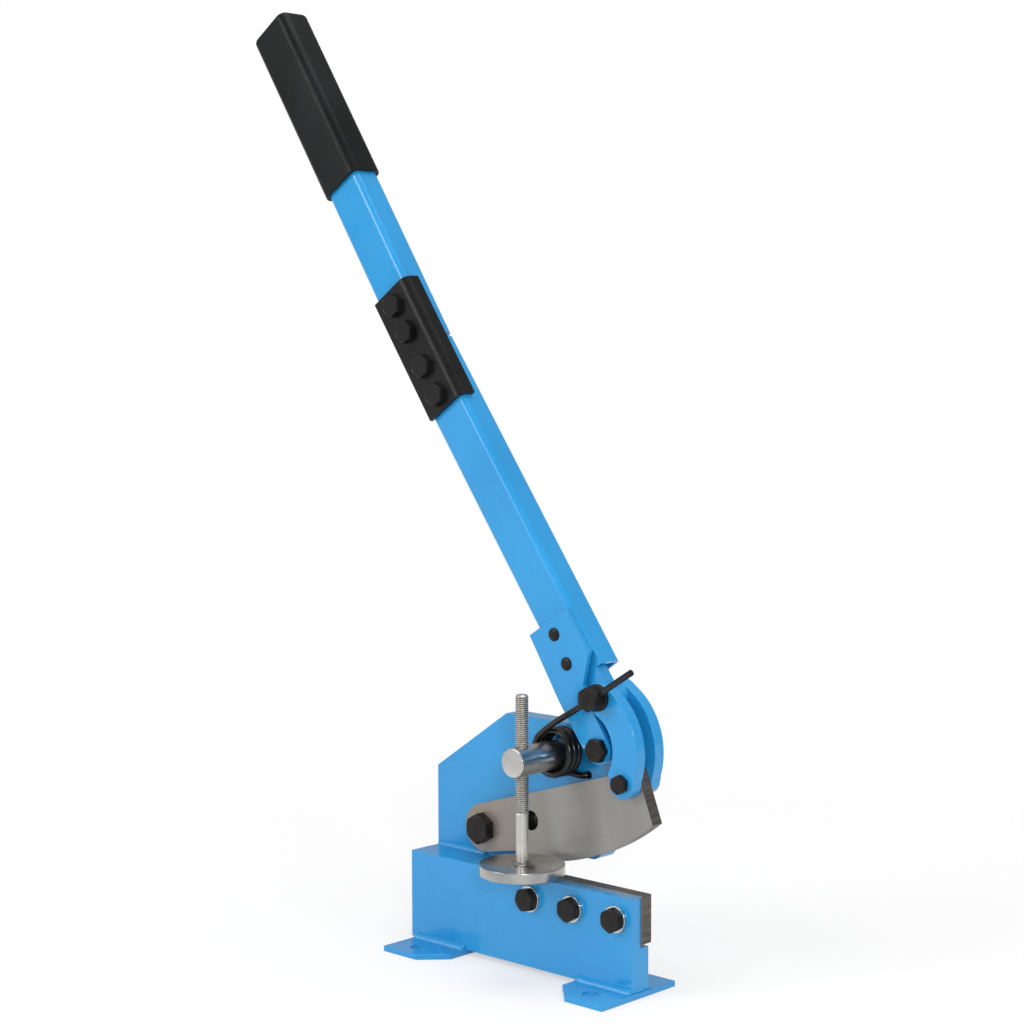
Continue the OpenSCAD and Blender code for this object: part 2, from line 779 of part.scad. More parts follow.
coil_end = coil_point(coil_sweep);
coil_end_angle = coil_start - coil_sweep;
leg_dir = [cos(leg_angle), 0, sin(leg_angle)];
stud_entry = in_plane(stud_at, wire_y) - 8 * leg_dir;
leg_curve = [
    coil_end,
    coil_end + 16 * [sin(coil_end_angle), -0.08, -cos(coil_end_angle)],
    stud_entry - 16 * leg_dir,
    stud_entry
];
anchor_points = [
    in_plane(spring_anchor, plate_y + anchor_depth - round_gap),
    in_plane(spring_anchor, plate_y + 2),
    for (a = [0:22.5:90]) [
        spring_anchor[0] - anchor_bend * (1 - cos(a)),
        coil_y + anchor_bend * (1 - sin(a)),
        spring_anchor[1] - 0.3 * sin(a)
    ]
];
wire_path = concat(
    anchor_points,
    [for (i = [0:coil_steps]) coil_point(i * coil_sweep / coil_steps)],
    [for (i = [1:leg_steps]) bezier(leg_curve, i / leg_steps)],
    [stud_entry + (8 + free_end - wire_d) * leg_dir, stud_entry + (8 + free_end) * leg_dir]
);

// Directions along the wire, and one side direction carried along it without twist
last_ring = len(wire_path) - 1;
ahead = [for (i = [0:last_ring])
    unit(wire_path[min(i + 1, last_ring)] - wire_path[max(i - 1, 0)])];
side = [for (i = 0, v = [1, 0, 0]; i <= last_ring;
    i = i + 1, v = unit(v - (v * ahead[min(i, last_ring)]) * ahead[min(i, last_ring)])) v];
wire_rings = [for (i = [0:last_ring]) for (k = [0:wire_sides - 1])
    let (a = k * 360 / wire_sides)
    wire_path[i] + wire_d / 2 * (cos(a) * side[i] + sin(a) * cross(ahead[i], side[i]))];

function ring_faces(i) = [for (k = [0:wire_sides - 1])
    let (a = i * wire_sides + k, b = i * wire_sides + (k + 1) % wire_sides)
    each [[a, a + wire_sides, b + wire_sides], [a, b + wire_sides, b]]];

wire_gap = min([for (i = [0:last_ring - rings_per_turn + 2])
    for (j = [i + rings_per_turn - 2:last_ring]) norm(wire_path[i] - wire_path[j])]) - wire_d;
echo(str("least gap of the spring wire to itself, mm: ", wire_gap));

module torsion_spring() {
    last = last_ring * wire_sides;
    color("#1c1c1c") polyhedron(points = wire_rings, faces = [
        for (i = [0:last_ring - 1]) each ring_faces(i),
        for (k = [1:wire_sides - 2]) [0, k, k + 1],
        for (k = [1:wire_sides - 2]) [last, last + k + 1, last + k]
    ]);
}

left_foot();
right_foot();
lower_block();
filler_bar();
rear_plate();
frame_welds();
lower_blade();
lower_blade_bolts();
lower_blade_washers();
blade_pivot_bolt();
blade_pivot_nut();
lever_pivot_bolt();
lever_pivot_nut();
hold_down_bar();
hold_down_screw();
hold_down_disc();
torsion_spring();
upper_blade();
front_link();
rear_link();
link_bolt();
link_nut();
head_plate();
lever_bar();
head_screws();
spring_stud();
stud_nut();
lower_tube();
upper_tube();
joint_sleeve();
sleeve_bolts();
sleeve_nuts();
grip();
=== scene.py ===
import bmesh
import bpy
import math
import numpy as np
from mathutils import Matrix, Vector


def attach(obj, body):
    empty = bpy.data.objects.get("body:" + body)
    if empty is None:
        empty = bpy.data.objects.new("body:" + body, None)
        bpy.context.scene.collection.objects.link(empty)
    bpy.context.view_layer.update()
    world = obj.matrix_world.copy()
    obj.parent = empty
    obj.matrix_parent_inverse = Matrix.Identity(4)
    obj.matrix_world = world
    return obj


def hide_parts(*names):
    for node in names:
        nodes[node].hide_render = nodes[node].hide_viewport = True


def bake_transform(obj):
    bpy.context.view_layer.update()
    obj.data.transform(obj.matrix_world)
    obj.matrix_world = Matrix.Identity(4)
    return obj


# Bench lever shear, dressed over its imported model. Lengths in the dictionaries are millimetres
# in the model's frame: x towards the open jaws, y backwards, z up.

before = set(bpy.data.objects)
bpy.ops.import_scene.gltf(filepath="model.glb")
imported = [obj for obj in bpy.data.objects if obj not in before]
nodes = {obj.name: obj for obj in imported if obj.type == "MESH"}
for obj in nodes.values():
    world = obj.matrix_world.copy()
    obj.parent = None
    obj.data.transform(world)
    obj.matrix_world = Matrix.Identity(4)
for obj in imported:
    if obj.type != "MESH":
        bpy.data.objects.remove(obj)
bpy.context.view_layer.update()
scene = bpy.context.scene
millimetre = 0.001
fullTurn = 2 * math.pi

# Camera at the photograph's angle

camera = {
    "place": (843.41, -910.43, 371.47),
    "target": (-4.32, -5.0, 271.86),
    "roll": -0.12,  # degrees
    "focal": 2093.44,  # pixels
    "middle": (512.13, 520.09),  # where the lens axis meets the picture, in pixels
    "picture": 1024,
}


def aimCamera(c):
    # right is forward crossed with up; the roll turns right towards up
    place = Vector(c["place"]) * millimetre
    forward = (Vector(c["target"]) * millimetre - place).normalized()
    level = forward.cross(Vector((0, 0, 1))).normalized()
    upright = level.cross(forward)
    turn = math.radians(c["roll"])
    right = level * math.cos(turn) + upright * math.sin(turn)
    up = right.cross(forward)
    data = bpy.data.cameras.new("photoCamera")
    data.sensor_width = 36
    data.lens = c["focal"] / c["picture"] * data.sensor_width
    data.shift_x = -(c["middle"][0] - c["picture"] / 2) / c["picture"]
    data.shift_y = (c["middle"][1] - c["picture"] / 2) / c["picture"]
    data.clip_start = 0.01
    data.clip_end = 50
    cam = bpy.data.objects.new("photoCamera", data)
    cam.matrix_world = Matrix((
        (right.x, up.x, -forward.x, place.x),
        (right.y, up.y, -forward.y, place.y),
        (right.z, up.z, -forward.z, place.z),
        (0, 0, 0, 1),
    ))
    scene.collection.objects.link(cam)
    scene.camera = cam


aimCamera(camera)
print("camera set")

# Finishes

finishes = {
    "paint": {"dark": (0.012, 0.25, 0.56), "light": (0.018, 0.29, 0.63), "rough": (0.2, 0.3)},
    "bladeFace": {"dark": (0.25, 0.243, 0.23), "light": (0.31, 0.305, 0.29),
                  "rust": (0.28, 0.235, 0.2), "lines": (0.225, 0.217, 0.203), "rough": (0.36, 0.46)},
    "bladeEdge": {"dark": (0.066, 0.056, 0.047), "light": (0.135, 0.122, 0.108)},
    "oxide": {"dark": (0.006, 0.0054, 0.0048), "light": (0.019, 0.016, 0.0138), "rough": (0.34, 0.5)},
    "bright": {"dark": (0.52, 0.51, 0.49), "light": (0.66, 0.65, 0.63), "rough": (0.16, 0.26)},
    "bar": {"dark": (0.44, 0.435, 0.425), "light": (0.6, 0.595, 0.58), "rough": (0.26, 0.34)},
    # separate tones for the disc's top and rim are painted shade between its faces
    "discTop": {"dark": (0.27, 0.263, 0.245), "light": (0.47, 0.458, 0.43)},
    "discRim": {"dark": (0.3, 0.3, 0.29), "light": (0.46, 0.455, 0.44)},
    # the thread's root tone is painted shade in its grooves
    "thread": {"dark": (0.5, 0.485, 0.455), "light": (0.66, 0.645, 0.61), "rootShade": (0.2, 0.19, 0.17)},
    "sleeve": {"dark": (0.005, 0.0052, 0.0052), "light": (0.01, 0.0098, 0.0094), "rough": (0.3, 0.38)},
    "grip": {"dark": (0.005, 0.0056, 0.006), "light": (0.0095, 0.0102, 0.011), "rough": (0.34, 0.44)},
    "wire": {"dark": (0.004, 0.004, 0.0044), "light": (0.009, 0.0083, 0.0075), "rough": (0.16, 0.26)},
}


def addNode(tree, kind, inputs=None, **settings):
    node = tree.nodes.new(kind)
    for key, value in settings.items():
        setattr(node, key, value)
    for key, value in (inputs or {}).items():
        node.inputs[key].default_value = value
    return node


def noiseOn(tree, source, scale, detail=3.0, stretch=(1, 1, 1), turn=(0, 0, 0)):
    # clouds on object coordinates, turned back by the turn and then stretched before they are read
    mapping = addNode(tree, "ShaderNodeMapping",
                      {"Scale": tuple(1 / v for v in stretch), "Rotation": turn}, vector_type="TEXTURE")
    noise = addNode(tree, "ShaderNodeTexNoise", {"Scale": scale, "Detail": detail})
    tree.links.new(source, mapping.inputs["Vector"])
    tree.links.new(mapping.outputs["Vector"], noise.inputs["Vector"])
    return noise.outputs["Fac"]


def rangeOf(tree, value, low, high, start=0.3, end=0.7):
    # a straight line from low to high while the value goes from start to end
    node = addNode(tree, "ShaderNodeMapRange", {"From Min": start, "From Max": end,
                                                "To Min": low, "To Max": high})
    tree.links.new(value, node.inputs["Value"])
    return node.outputs["Result"]


def mixOf(tree, factor, first, second):
    node = addNode(tree, "ShaderNodeMix", data_type="RGBA")
    for socket, value in ((node.inputs[6], first), (node.inputs[7], second)):
        if isinstance(value, tuple):
            socket.default_value = (*value, 1)
        else:
            tree.links.new(value, socket)
    tree.links.new(factor, node.inputs[0])
    return node.outputs[2]


def bumpOf(tree, height, strength, distance):
    node = addNode(tree, "ShaderNodeBump", {"Strength": strength, "Distance": distance})
    tree.links.new(height, node.inputs["Height"])
    return node.outputs["Normal"]


def distanceFrom(tree, place, point, keep):
    # length of the way from the point, counting only the kept directions
    back = tuple(-v * k * millimetre for v, k in zip(point, keep))
    mapping = addNode(tree, "ShaderNodeMapping", {"Location": back, "Scale": keep})
    length = addNode(tree, "ShaderNodeVectorMath", operation="LENGTH")
    tree.links.new(place, mapping.inputs["Vector"])
    tree.links.new(mapping.outputs["Vector"], length.inputs[0])
    return length.outputs["Value"]


def startMaterial(name, metallic=0.0, specular=0.5, coat=0.0):
    material = bpy.data.materials.new(name)
    material.use_nodes = True
    tree = material.node_tree
    surface = tree.nodes["Principled BSDF"]
    surface.inputs["Metallic"].default_value = metallic
    surface.inputs["Specular IOR Level"].default_value = specular
    surface.inputs["Coat Weight"].default_value = coat
    surface.inputs["Coat Roughness"].default_value = 0.08
    place = addNode(tree, "ShaderNodeTexCoord").outputs["Object"]
    return material, tree, surface, place


def cloudy(tree, surface, place, tones, scale, roughScale):
    # colour wanders between two tones in clouds, and roughness in smaller clouds of its own
    clouds = rangeOf(tree, noiseOn(tree, place, scale), 0, 1)
    colour = mixOf(tree, clouds, tones["dark"], tones["light"])
    tree.links.new(colour, surface.inputs["Base Color"])
    low, high = tones["rough"]
    rough = rangeOf(tree, noiseOn(tree, place, roughScale), low, high)
    tree.links.new(rough, surface.inputs["Roughness"])
    return colour


barHole = {"centre": (-4.5, 0, 88), "radius": 6.0, "rifling": 0.62, "margin": 0.02, "fade": 0.25,
           "dark": (0.004, 0.0035, 0.003), "light": (0.03, 0.024, 0.02)}


def darkenBore(tree, surface, place, colour, h):
    # near-black within the hole for round bar, with fine lines round it
    away = distanceFrom(tree, place, h["centre"], (1, 0, 1))
    split = addNode(tree, "ShaderNodeSeparateXYZ")
    tree.links.new(place, split.inputs["Vector"])
    lines = addNode(tree, "ShaderNodeMath", {1: fullTurn / (h["rifling"] * millimetre)},
                    operation="MULTIPLY")
    wave = addNode(tree, "ShaderNodeMath", operation="SINE")
    tree.links.new(split.outputs["Y"], lines.inputs[0])
    tree.links.new(lines.outputs[0], wave.inputs[0])
    wall = mixOf(tree, rangeOf(tree, wave.outputs[0], 0, 1, 0.2, 0.9), h["dark"], h["light"])
    edge = (h["radius"] + h["margin"]) * millimetre
    inside = rangeOf(tree, away, 0, 1, edge, edge + h["fade"] * millimetre)
    tree.links.new(mixOf(tree, inside, wall, colour), surface.inputs["Base Color"])


def paintMaterial(name, bored=False):
    material, tree, surface, place = startMaterial(name, specular=0.3, coat=0.5)
    colour = cloudy(tree, surface, place, finishes["paint"], 14, 70)
    if bored:
        darkenBore(tree, surface, place, colour, barHole)
    waves = bumpOf(tree, noiseOn(tree, place, 90, 1), 0.05, 0.0004)
    tree.links.new(waves, surface.inputs["Normal"])
    tree.links.new(waves, surface.inputs["Coat Normal"])
    return material


def bladeMaterial(name, tilt, rustFrom=None):
    # ground steel: faint fine lines on the flat sides, browner towards the pivot, dark cut edges
    material, tree, surface, place = startMaterial(name, metallic=0.55, specular=0.4)
    turn = (0, -math.radians(tilt), 0)
    lines = noiseOn(tree, place, 110, 4, (0.35, 1, 9), turn)
    clouds = noiseOn(tree, place, 26, 2, (1.6, 1, 0.35), turn)
    face, edge = finishes["bladeFace"], finishes["bladeEdge"]
    mist = mixOf(tree, rangeOf(tree, clouds, 0, 1), face["dark"], face["light"])
    ground = mixOf(tree, rangeOf(tree, lines, 0, 0.25, 0.35, 0.65), mist, face["lines"])
    if rustFrom is not None:
        near, far = rustFrom["near"] * millimetre, rustFrom["far"] * millimetre
        away = distanceFrom(tree, place, rustFrom["point"], (1, 0, 1))
        ground = mixOf(tree, rangeOf(tree, away, 0.75, 0, near, far), ground, face["rust"])
    grain = rangeOf(tree, noiseOn(tree, place, 90, 3, (1, 0.5, 6)), 0, 1)
    cut = mixOf(tree, grain, edge["dark"], edge["light"])
    normal = addNode(tree, "ShaderNodeNewGeometry").outputs["True Normal"]
    split = addNode(tree, "ShaderNodeSeparateXYZ")
    tree.links.new(normal, split.inputs["Vector"])
    size = addNode(tree, "ShaderNodeMath", operation="ABSOLUTE")
    tree.links.new(split.outputs["Y"], size.inputs[0])
    colour = mixOf(tree, rangeOf(tree, size.outputs[0], 0, 1, 0.55, 0.95), cut, ground)
    tree.links.new(colour, surface.inputs["Base Color"])
    darkenBore(tree, surface, place, colour, barHole)
    low, high = face["rough"]
    tree.links.new(rangeOf(tree, lines, high, low), surface.inputs["Roughness"])
    tree.links.new(bumpOf(tree, lines, 0.025, 0.0001), surface.inputs["Normal"])
    return material


def oxideMaterial():
    material, tree, surface, place = startMaterial("darkOxide", specular=0.2)
    cloudy(tree, surface, place, finishes["oxide"], 160, 300)
    tree.links.new(bumpOf(tree, noiseOn(tree, place, 600, 2), 0.15, 0.0002), surface.inputs["Normal"])
    return material


def brightMaterial(name, tones):
    material, tree, surface, place = startMaterial(name, metallic=1.0)
    cloudy(tree, surface, place, tones, 45, 120)
    tree.links.new(bumpOf(tree, noiseOn(tree, place, 500, 2), 0.03, 0.0001), surface.inputs["Normal"])
    return material


def turnedMaterial(name, d):
    # a turned face has fine rings about its centre; its top and its rim get separate tones, painted
    # shade that differs between the two faces
    material, tree, surface, place = startMaterial(name, metallic=1.0)
    away = distanceFrom(tree, place, (*d["centre"], 0), (1, 1, 0))
    tone = noiseOn(tree, place, 60)
    top, rim = [mixOf(tree, rangeOf(tree, tone, 0, 1), finishes[toneName]["dark"], finishes[toneName]["light"])
                for toneName in ("discTop", "discRim")]
    # painted shade: the top's tone inside, the rim's over the outer band and the rim itself
    edge = (d["radius"] - d["rimShadeBand"]) * millimetre
    colour = mixOf(tree, rangeOf(tree, away, 0, 1, edge, edge + d["shadeBandFade"] * millimetre), top, rim)
    tree.links.new(colour, surface.inputs["Base Color"])
    surface.inputs["Roughness"].default_value = 0.22
    turns = addNode(tree, "ShaderNodeMath", {1: fullTurn / (d["turning"] * millimetre)},
                    operation="MULTIPLY")
    wave = addNode(tree, "ShaderNodeMath", operation="SINE")
    tree.links.new(away, turns.inputs[0])
    tree.links.new(turns.outputs[0], wave.inputs[0])
    tree.links.new(bumpOf(tree, wave.outputs[0], 0.04, 0.0001), surface.inputs["Normal"])
    return material


def threadMaterial(name, r):
    # bright crests over painted shade in the roots, told apart by their distance from the rod's axis
    material, tree, surface, place = startMaterial(name, metallic=0.9)
    away = distanceFrom(tree, place, (*r["centre"], 0), (1, 1, 0))
    tones = finishes["thread"]
    tone = mixOf(tree, rangeOf(tree, noiseOn(tree, place, 80), 0, 1), tones["dark"], tones["light"])
    low, high = ((r["radius"] - below) * millimetre for below in r["roots"])
    # painted shade in the thread roots, fading in over the given depths below the crest
    thread = mixOf(tree, rangeOf(tree, away, 0, 1, low, high), tones["rootShade"], tone)
    split = addNode(tree, "ShaderNodeSeparateXYZ")
    tree.links.new(place, split.inputs["Vector"])
    height, fade = split.outputs["Z"], r["fade"] * millimetre
    start, end = r["thread"] * millimetre, (r["high"] - r["plainEnd"]) * millimetre
    threaded = mixOf(tree, rangeOf(tree, height, 0, 1, start - fade, start + fade), tone, thread)
    colour = mixOf(tree, rangeOf(tree, height, 0, 1, end - fade, end + fade), threaded, tone)
    tree.links.new(colour, surface.inputs["Base Color"])
    surface.inputs["Roughness"].default_value = 0.42
    return material


def blackMaterial(name, tones, scale, strength, distance, specular):
    material, tree, surface, place = startMaterial(name, specular=specular)
    cloudy(tree, surface, place, tones, 30, 90)
    tree.links.new(bumpOf(tree, noiseOn(tree, place, scale, 3), strength, distance),
                   surface.inputs["Normal"])
    return material


disc = {"centre": (17.7, -20.5), "radius": 25.5, "low": 64.6, "high": 70.9, "collar": 6.2,
        "collarTop": 72.9, "collarSlope": 1.4, "dish": 0.4, "bore": 3.65, "edge": 0.45,
        "rimShadeBand": 0.6, "shadeBandFade": 0.3, "turning": 0.5}
rod = {"centre": (17.7, -20.5), "radius": 4.0, "shank": 3.65, "pitch": 1.25, "low": 64.7,
       "thread": 100.6, "high": 171.5, "depth": 0.5, "roots": (0.6, 0.2), "plainEnd": 1.3, "fade": 0.2}
rust = {"point": (-52, 0, 76), "near": 20, "far": 75}
blueGloss = paintMaterial("bluePaint")
blueBored = paintMaterial("bluePaintBored", bored=True)
upperSteel = bladeMaterial("upperBladeSteel", 16.8, rust)
lowerSteel = bladeMaterial("lowerBladeSteel", 0)
oxide = oxideMaterial()
brightSteel = brightMaterial("brightSteel", finishes["bright"])
barSteel = brightMaterial("barSteel", finishes["bar"])
turnedSteel = turnedMaterial("turnedSteel", disc)
threadSteel = threadMaterial("threadSteel", rod)
sleeveBlack = blackMaterial("sleeveBlack", finishes["sleeve"], 350, 0.05, 0.0002, 0.19)
gripBlack = blackMaterial("gripBlack", finishes["grip"], 260, 0.12, 0.0003, 0.14)
wireBlack = blackMaterial("wireBlack", finishes["wire"], 300, 0.04, 0.0002, 0.4)
print("materials made")

# Surfaces


def gridQuads(rows, columns, aroundRows=False):
    # every cell between neighbouring rows; columns always join round, rows only when asked
    last = rows if aroundRows else rows - 1
    row, column = np.meshgrid(np.arange(last), np.arange(columns), indexing="ij")
    above = (row + 1) % rows
    beside = (column + 1) % columns
    cells = [row * columns + column, row * columns + beside,
             above * columns + beside, above * columns + column]
    return np.stack(cells, axis=-1).reshape(-1, 4)


def placed(across, along, centre, axis):
    # across is (u, v) off the axis, along the height on it; a y axis has its u on x and v on z
    u, v = across
    if axis == "y":
        return np.stack([centre[0] + u, along + 0 * u, centre[1] + v], axis=-1)
    return np.stack([centre[0] + u, centre[1] + v, along + 0 * u], axis=-1)


def softened(corners, radius, steps=4):
    # each inner corner of an open line is cut back by the radius and bridged by a smooth curve,
    # which at t is the corner's weighted mean with its two cut points
    points = np.array(corners, float)
    line = [points[0]]
    t = np.linspace(0, 1, steps + 1)[:, None]
    for before, here, after in zip(points[:-2], points[1:-1], points[2:]):
        first = here + (before - here) * min(0.5, radius / max(np.linalg.norm(before - here), 1e-9))
        last = here + (after - here) * min(0.5, radius / max(np.linalg.norm(after - here), 1e-9))
        line.extend((1 - t) ** 2 * first + 2 * t * (1 - t) * here + t ** 2 * last)
    line.append(points[-1])
    return np.array(line)


def turnedSurface(profile, centre, axis, sides=72):
    # radius and height pairs carried round the axis: at angle a the point stands radius times
    # (cos a, sin a) off it
    angle = np.arange(sides) * fullTurn / sides
    radius, height = np.array(profile, float).T
    across = (radius[:, None] * np.cos(angle), radius[:, None] * np.sin(angle))
    points = placed(across, height[:, None], centre, axis)
    return points.reshape(-1, 3), gridQuads(len(radius), sides)


def hexagonSurface(centre, acrossFlats, top, seat, spin=0.0, bore=0.0, bothEnds=False, perSide=8,
                   topShare=0.475):
    # the radius at angle a is half the width over the cosine of a's distance from the middle of
    # its flat; a cone of 30 degrees from the top circle, a share of the width, takes the corners off
    step = fullTurn / 6
    angle = np.arange(6 * perSide) * step / perSide + math.radians(spin)
    offFlat = (np.arange(6 * perSide) % perSide) * step / perSide - step / 2
    hexagon = acrossFlats / 2 / np.cos(offFlat)
    circle = np.full_like(hexagon, acrossFlats * topShare)
    drop = (hexagon - circle) * math.tan(math.radians(30))
    inward = 1 if seat > top else -1
    rings = [(circle, top + 0 * circle), (hexagon, top + inward * drop)]
    if bothEnds:
        rings += [(hexagon, seat - inward * drop), (circle, seat + 0 * circle)]
    else:
        rings += [(hexagon, seat + 0 * hexagon)]
    inner = np.full_like(hexagon, bore)
    if bore:
        rings += [(inner, seat + 0 * inner), (inner, top + 0 * inner)]
    else:
        rings = [(inner, top + 0 * inner)] + rings + [(inner, seat + 0 * inner)]
    radius = np.array([r for r, h in rings])
    height = np.array([h for r, h in rings])
    points = placed((radius * np.cos(angle), radius * np.sin(angle)), height, centre, "y")
    return points.reshape(-1, 3), gridQuads(len(rings), len(angle), bool(bore))


def threadedSurface(centre, axis, radius, pitch, start, end, threadFrom, sides=40, perPitch=8,
                    depth=0.6, shank=None, taper=1.1):
    # the radius falls from its crest by the depth, a share of the pitch, times half of one minus the
    # cosine of the turns since the last crest, growing over the first pitch; the end tapers to a
    # chamfer, and the shank is plain
    threadRows = max(2, int((end - threadFrom) / pitch * perPitch))
    rising = np.linspace(threadFrom, end, threadRows)
    height = np.concatenate([[start, start, threadFrom], rising, [end]])
    angle = np.arange(sides) * fullTurn / sides
    turns = (height[:, None] - threadFrom) / pitch - angle / fullTurn
    runIn = np.clip((height - threadFrom) / pitch, 0, 1)[:, None]
    grooves = radius - depth * pitch * runIn * (0.5 - 0.5 * np.cos(fullTurn * turns))
    chamfer = radius - np.clip(taper - (end - height), 0, None)[:, None]
    solid = np.minimum(grooves, chamfer)
    solid[:3] = shank or radius
    solid[0] = 0
    solid[-1] = 0
    points = placed((solid * np.cos(angle), solid * np.sin(angle)), height[:, None], centre, axis)
    return points.reshape(-1, 3), gridQuads(len(height), sides)


def ridePiece(piece, body, slotName, *replaced):
    # a piece without a body is attached to none; its maker bakes its transform
    if body:
        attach(piece, body)
    if replaced:
        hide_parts(*replaced)
    return piece


def putPiece(name, surfaces, material, body, slotName, replaced, bevel=0.0, sharp=32):
    # surfaces in millimetres become one mesh; seams and poles are welded, faces turned outwards
    mesh = bpy.data.meshes.new(name)
    allPoints, allFaces, count = [], [], 0
    for points, faces in surfaces:
        allPoints.append(points)
        allFaces.append(faces + count)
        count += len(points)
    mesh.from_pydata(np.concatenate(allPoints) * millimetre, [], np.concatenate(allFaces).tolist())
    work = bmesh.new()
    work.from_mesh(mesh)
    bmesh.ops.remove_doubles(work, verts=work.verts, dist=1e-6)
    bmesh.ops.dissolve_degenerate(work, edges=work.edges, dist=1e-7)
    bmesh.ops.recalc_face_normals(work, faces=work.faces)
    work.to_mesh(mesh)
    work.free()
    mesh.shade_smooth()
    mesh.set_sharp_from_angle(angle=math.radians(sharp))
    mesh.materials.append(material)
    piece = bpy.data.objects.new(name, mesh)
    scene.collection.objects.link(piece)
    if bevel:
        addBevel(piece, bevel)
    return ridePiece(piece, body, slotName, *replaced)


def addBevel(piece, width, segments=2, limit=25):
    bevel = piece.modifiers.new("softEdge", "BEVEL")
    bevel.width = width * millimetre
    bevel.segments = segments
    bevel.limit_method = "ANGLE"
    bevel.angle_limit = math.radians(limit)
    bevel.harden_normals = True
    bevel.miter_outer = "MITER_ARC"


# The model's own plates, bars and tubes stay; they get their finish and softened edges

plates = {
    "left_foot": (blueGloss, 0.7), "right_foot": (blueGloss, 0.7), "lower_block": (blueGloss, 0.8),
    "filler_bar": (blueGloss, 0.5), "rear_plate": (blueBored, 0.8), "front_link": (blueGloss, 0.9),
    "rear_link": (blueGloss, 0.9), "head_plate": (blueGloss, 0.6), "lever_bar": (blueGloss, 0.6),
    "lower_tube": (blueGloss, 0.3), "upper_tube": (blueGloss, 0.3), "joint_sleeve": (sleeveBlack, 0.4),
    "lower_blade": (lowerSteel, 0.25), "upper_blade": (upperSteel, 0.3),
}


def dressNode(name, material, edge):
    # weld the loose triangles, join flat ones, round the edges, and let big faces lead the shading
    node = nodes[name]
    for index in range(len(node.material_slots)):
        node.material_slots[index].material = material
    weld = node.modifiers.new("weld", "WELD")
    weld.merge_threshold = 1e-6
    flat = node.modifiers.new("joinFlat", "DECIMATE")
    flat.decimate_type = "DISSOLVE"
    flat.angle_limit = math.radians(0.3)
    addBevel(node, edge, 3, 30)
    shade = node.modifiers.new("evenShade", "WEIGHTED_NORMAL")
    shade.mode = "FACE_AREA"
    shade.weight = 80


for nodeName, (material, edge) in plates.items():
    dressNode(nodeName, material, edge)
print("plates and tubes dressed")

# Points on the lever: across it and along it from its pivot, with the bend at the tube joint

lever = {"pivot": (54.0, 139.4), "tilt": 35.6, "joint": 280.0, "kink": 2.4}


def onLever(across, along, kink=0.0):
    # turned by the kink about the joint, then by the tilt about the pivot
    bend = math.radians(kink)
    lean = math.radians(-lever["tilt"])
    u = across * math.cos(bend) + (along - lever["joint"]) * math.sin(bend)
    s = lever["joint"] - across * math.sin(bend) + (along - lever["joint"]) * math.cos(bend)
    x = lever["pivot"][0] + u * math.cos(lean) + s * math.sin(lean)
    z = lever["pivot"][1] - u * math.sin(lean) + s * math.cos(lean)
    return x, z


# The upper blade's corner beyond the link bolt, between the two links

bladeCorner = {"bolt": (73.95, 122.45), "clear": 3.4, "from": -50, "to": 138, "steps": 48,
               "front": 11.15, "back": 19.75, "leastCosine": 0.05,
               "edges": ((7.5, 21.2), (6.0, 106.8), (3.6, 143.1), (3.6, -52.3))}


def makeBladeCorner(c):
    # at each angle round the bolt the steel reaches from its clearance to the nearest edge, which is
    # the edge's distance over the cosine of the angle off its normal; front and back are flat
    angle = np.radians(np.linspace(c["from"], c["to"], c["steps"]))
    reach = [away / np.clip(np.cos(angle - math.radians(normal)), c["leastCosine"], 1)
             for away, normal in c["edges"]]
    outer = np.min(reach, axis=0)
    inner = np.full_like(outer, c["clear"])
    radius = np.stack([inner, outer, outer, inner], axis=-1)
    across = (radius * np.cos(angle)[:, None], radius * np.sin(angle)[:, None])
    depth = np.array([c["front"], c["front"], c["back"], c["back"]])
    rows = placed(across, depth, c["bolt"], "y")
    ends = [np.tile(rows[i].mean(axis=0), (1, 4, 1)) for i in (0, -1)]
    grid = np.concatenate([ends[0], rows, ends[1]])
    putPiece("upperBladeCorner", [(grid.reshape(-1, 3), gridQuads(len(grid), 4))], upperSteel, "blade",
             "blade_steel", [], bevel=0.2)


makeBladeCorner(bladeCorner)

# Bolts: each has a head, a plain shank and a threaded end

boltForm = {"thread": 14, "leastShank": 1, "bevel": 0.22}
bolts = {
    "lowerBladeBolts": {
        "node": "lower_blade_bolts", "body": "frame", "diameter": 8, "pitch": 1.25, "width": 13,
        "top": -11.2, "seat": -6.6, "end": 10.8, "spins": (12, 30, 30),
        "centres": [(9.5, 45.25), (43.1, 45.25), (76.7, 45.25)],
    },
    "bladePivotBolt": {
        "node": "blade_pivot_bolt", "body": "frame", "diameter": 10, "pitch": 1.5, "width": 17,
        "top": 4.5, "seat": 10.9, "end": 43.0, "spins": (30,), "centres": [(-44.5, 77.3)],
    },
    "leverPivotBolt": {
        "node": "lever_pivot_bolt", "body": "frame", "diameter": 8, "pitch": 1.25, "width": 13,
        "top": 1.4, "seat": 6.0, "end": 41.5, "spins": (0,), "centres": [(54.0, 139.4)],
    },
    "linkBolt": {
        "node": "link_bolt", "body": "links", "diameter": 6, "pitch": 1.0, "width": 10,
        "top": -1.1, "seat": 2.9, "end": 33.9, "spins": (30,), "centres": [(73.95, 122.45)],
    },
    "sleeveBolts": {
        "node": "sleeve_bolts", "body": "lever", "diameter": 8, "pitch": 1.25, "width": 13,
        "top": 1.4, "seat": 6.0, "end": 37.7, "spins": (33, 28, 24, 34), "finish": sleeveBlack,
        "centres": [onLever(13.7, s, lever["kink"] / 2) for s in (244.4, 265.4, 291.5, 311.4)],
    },
}


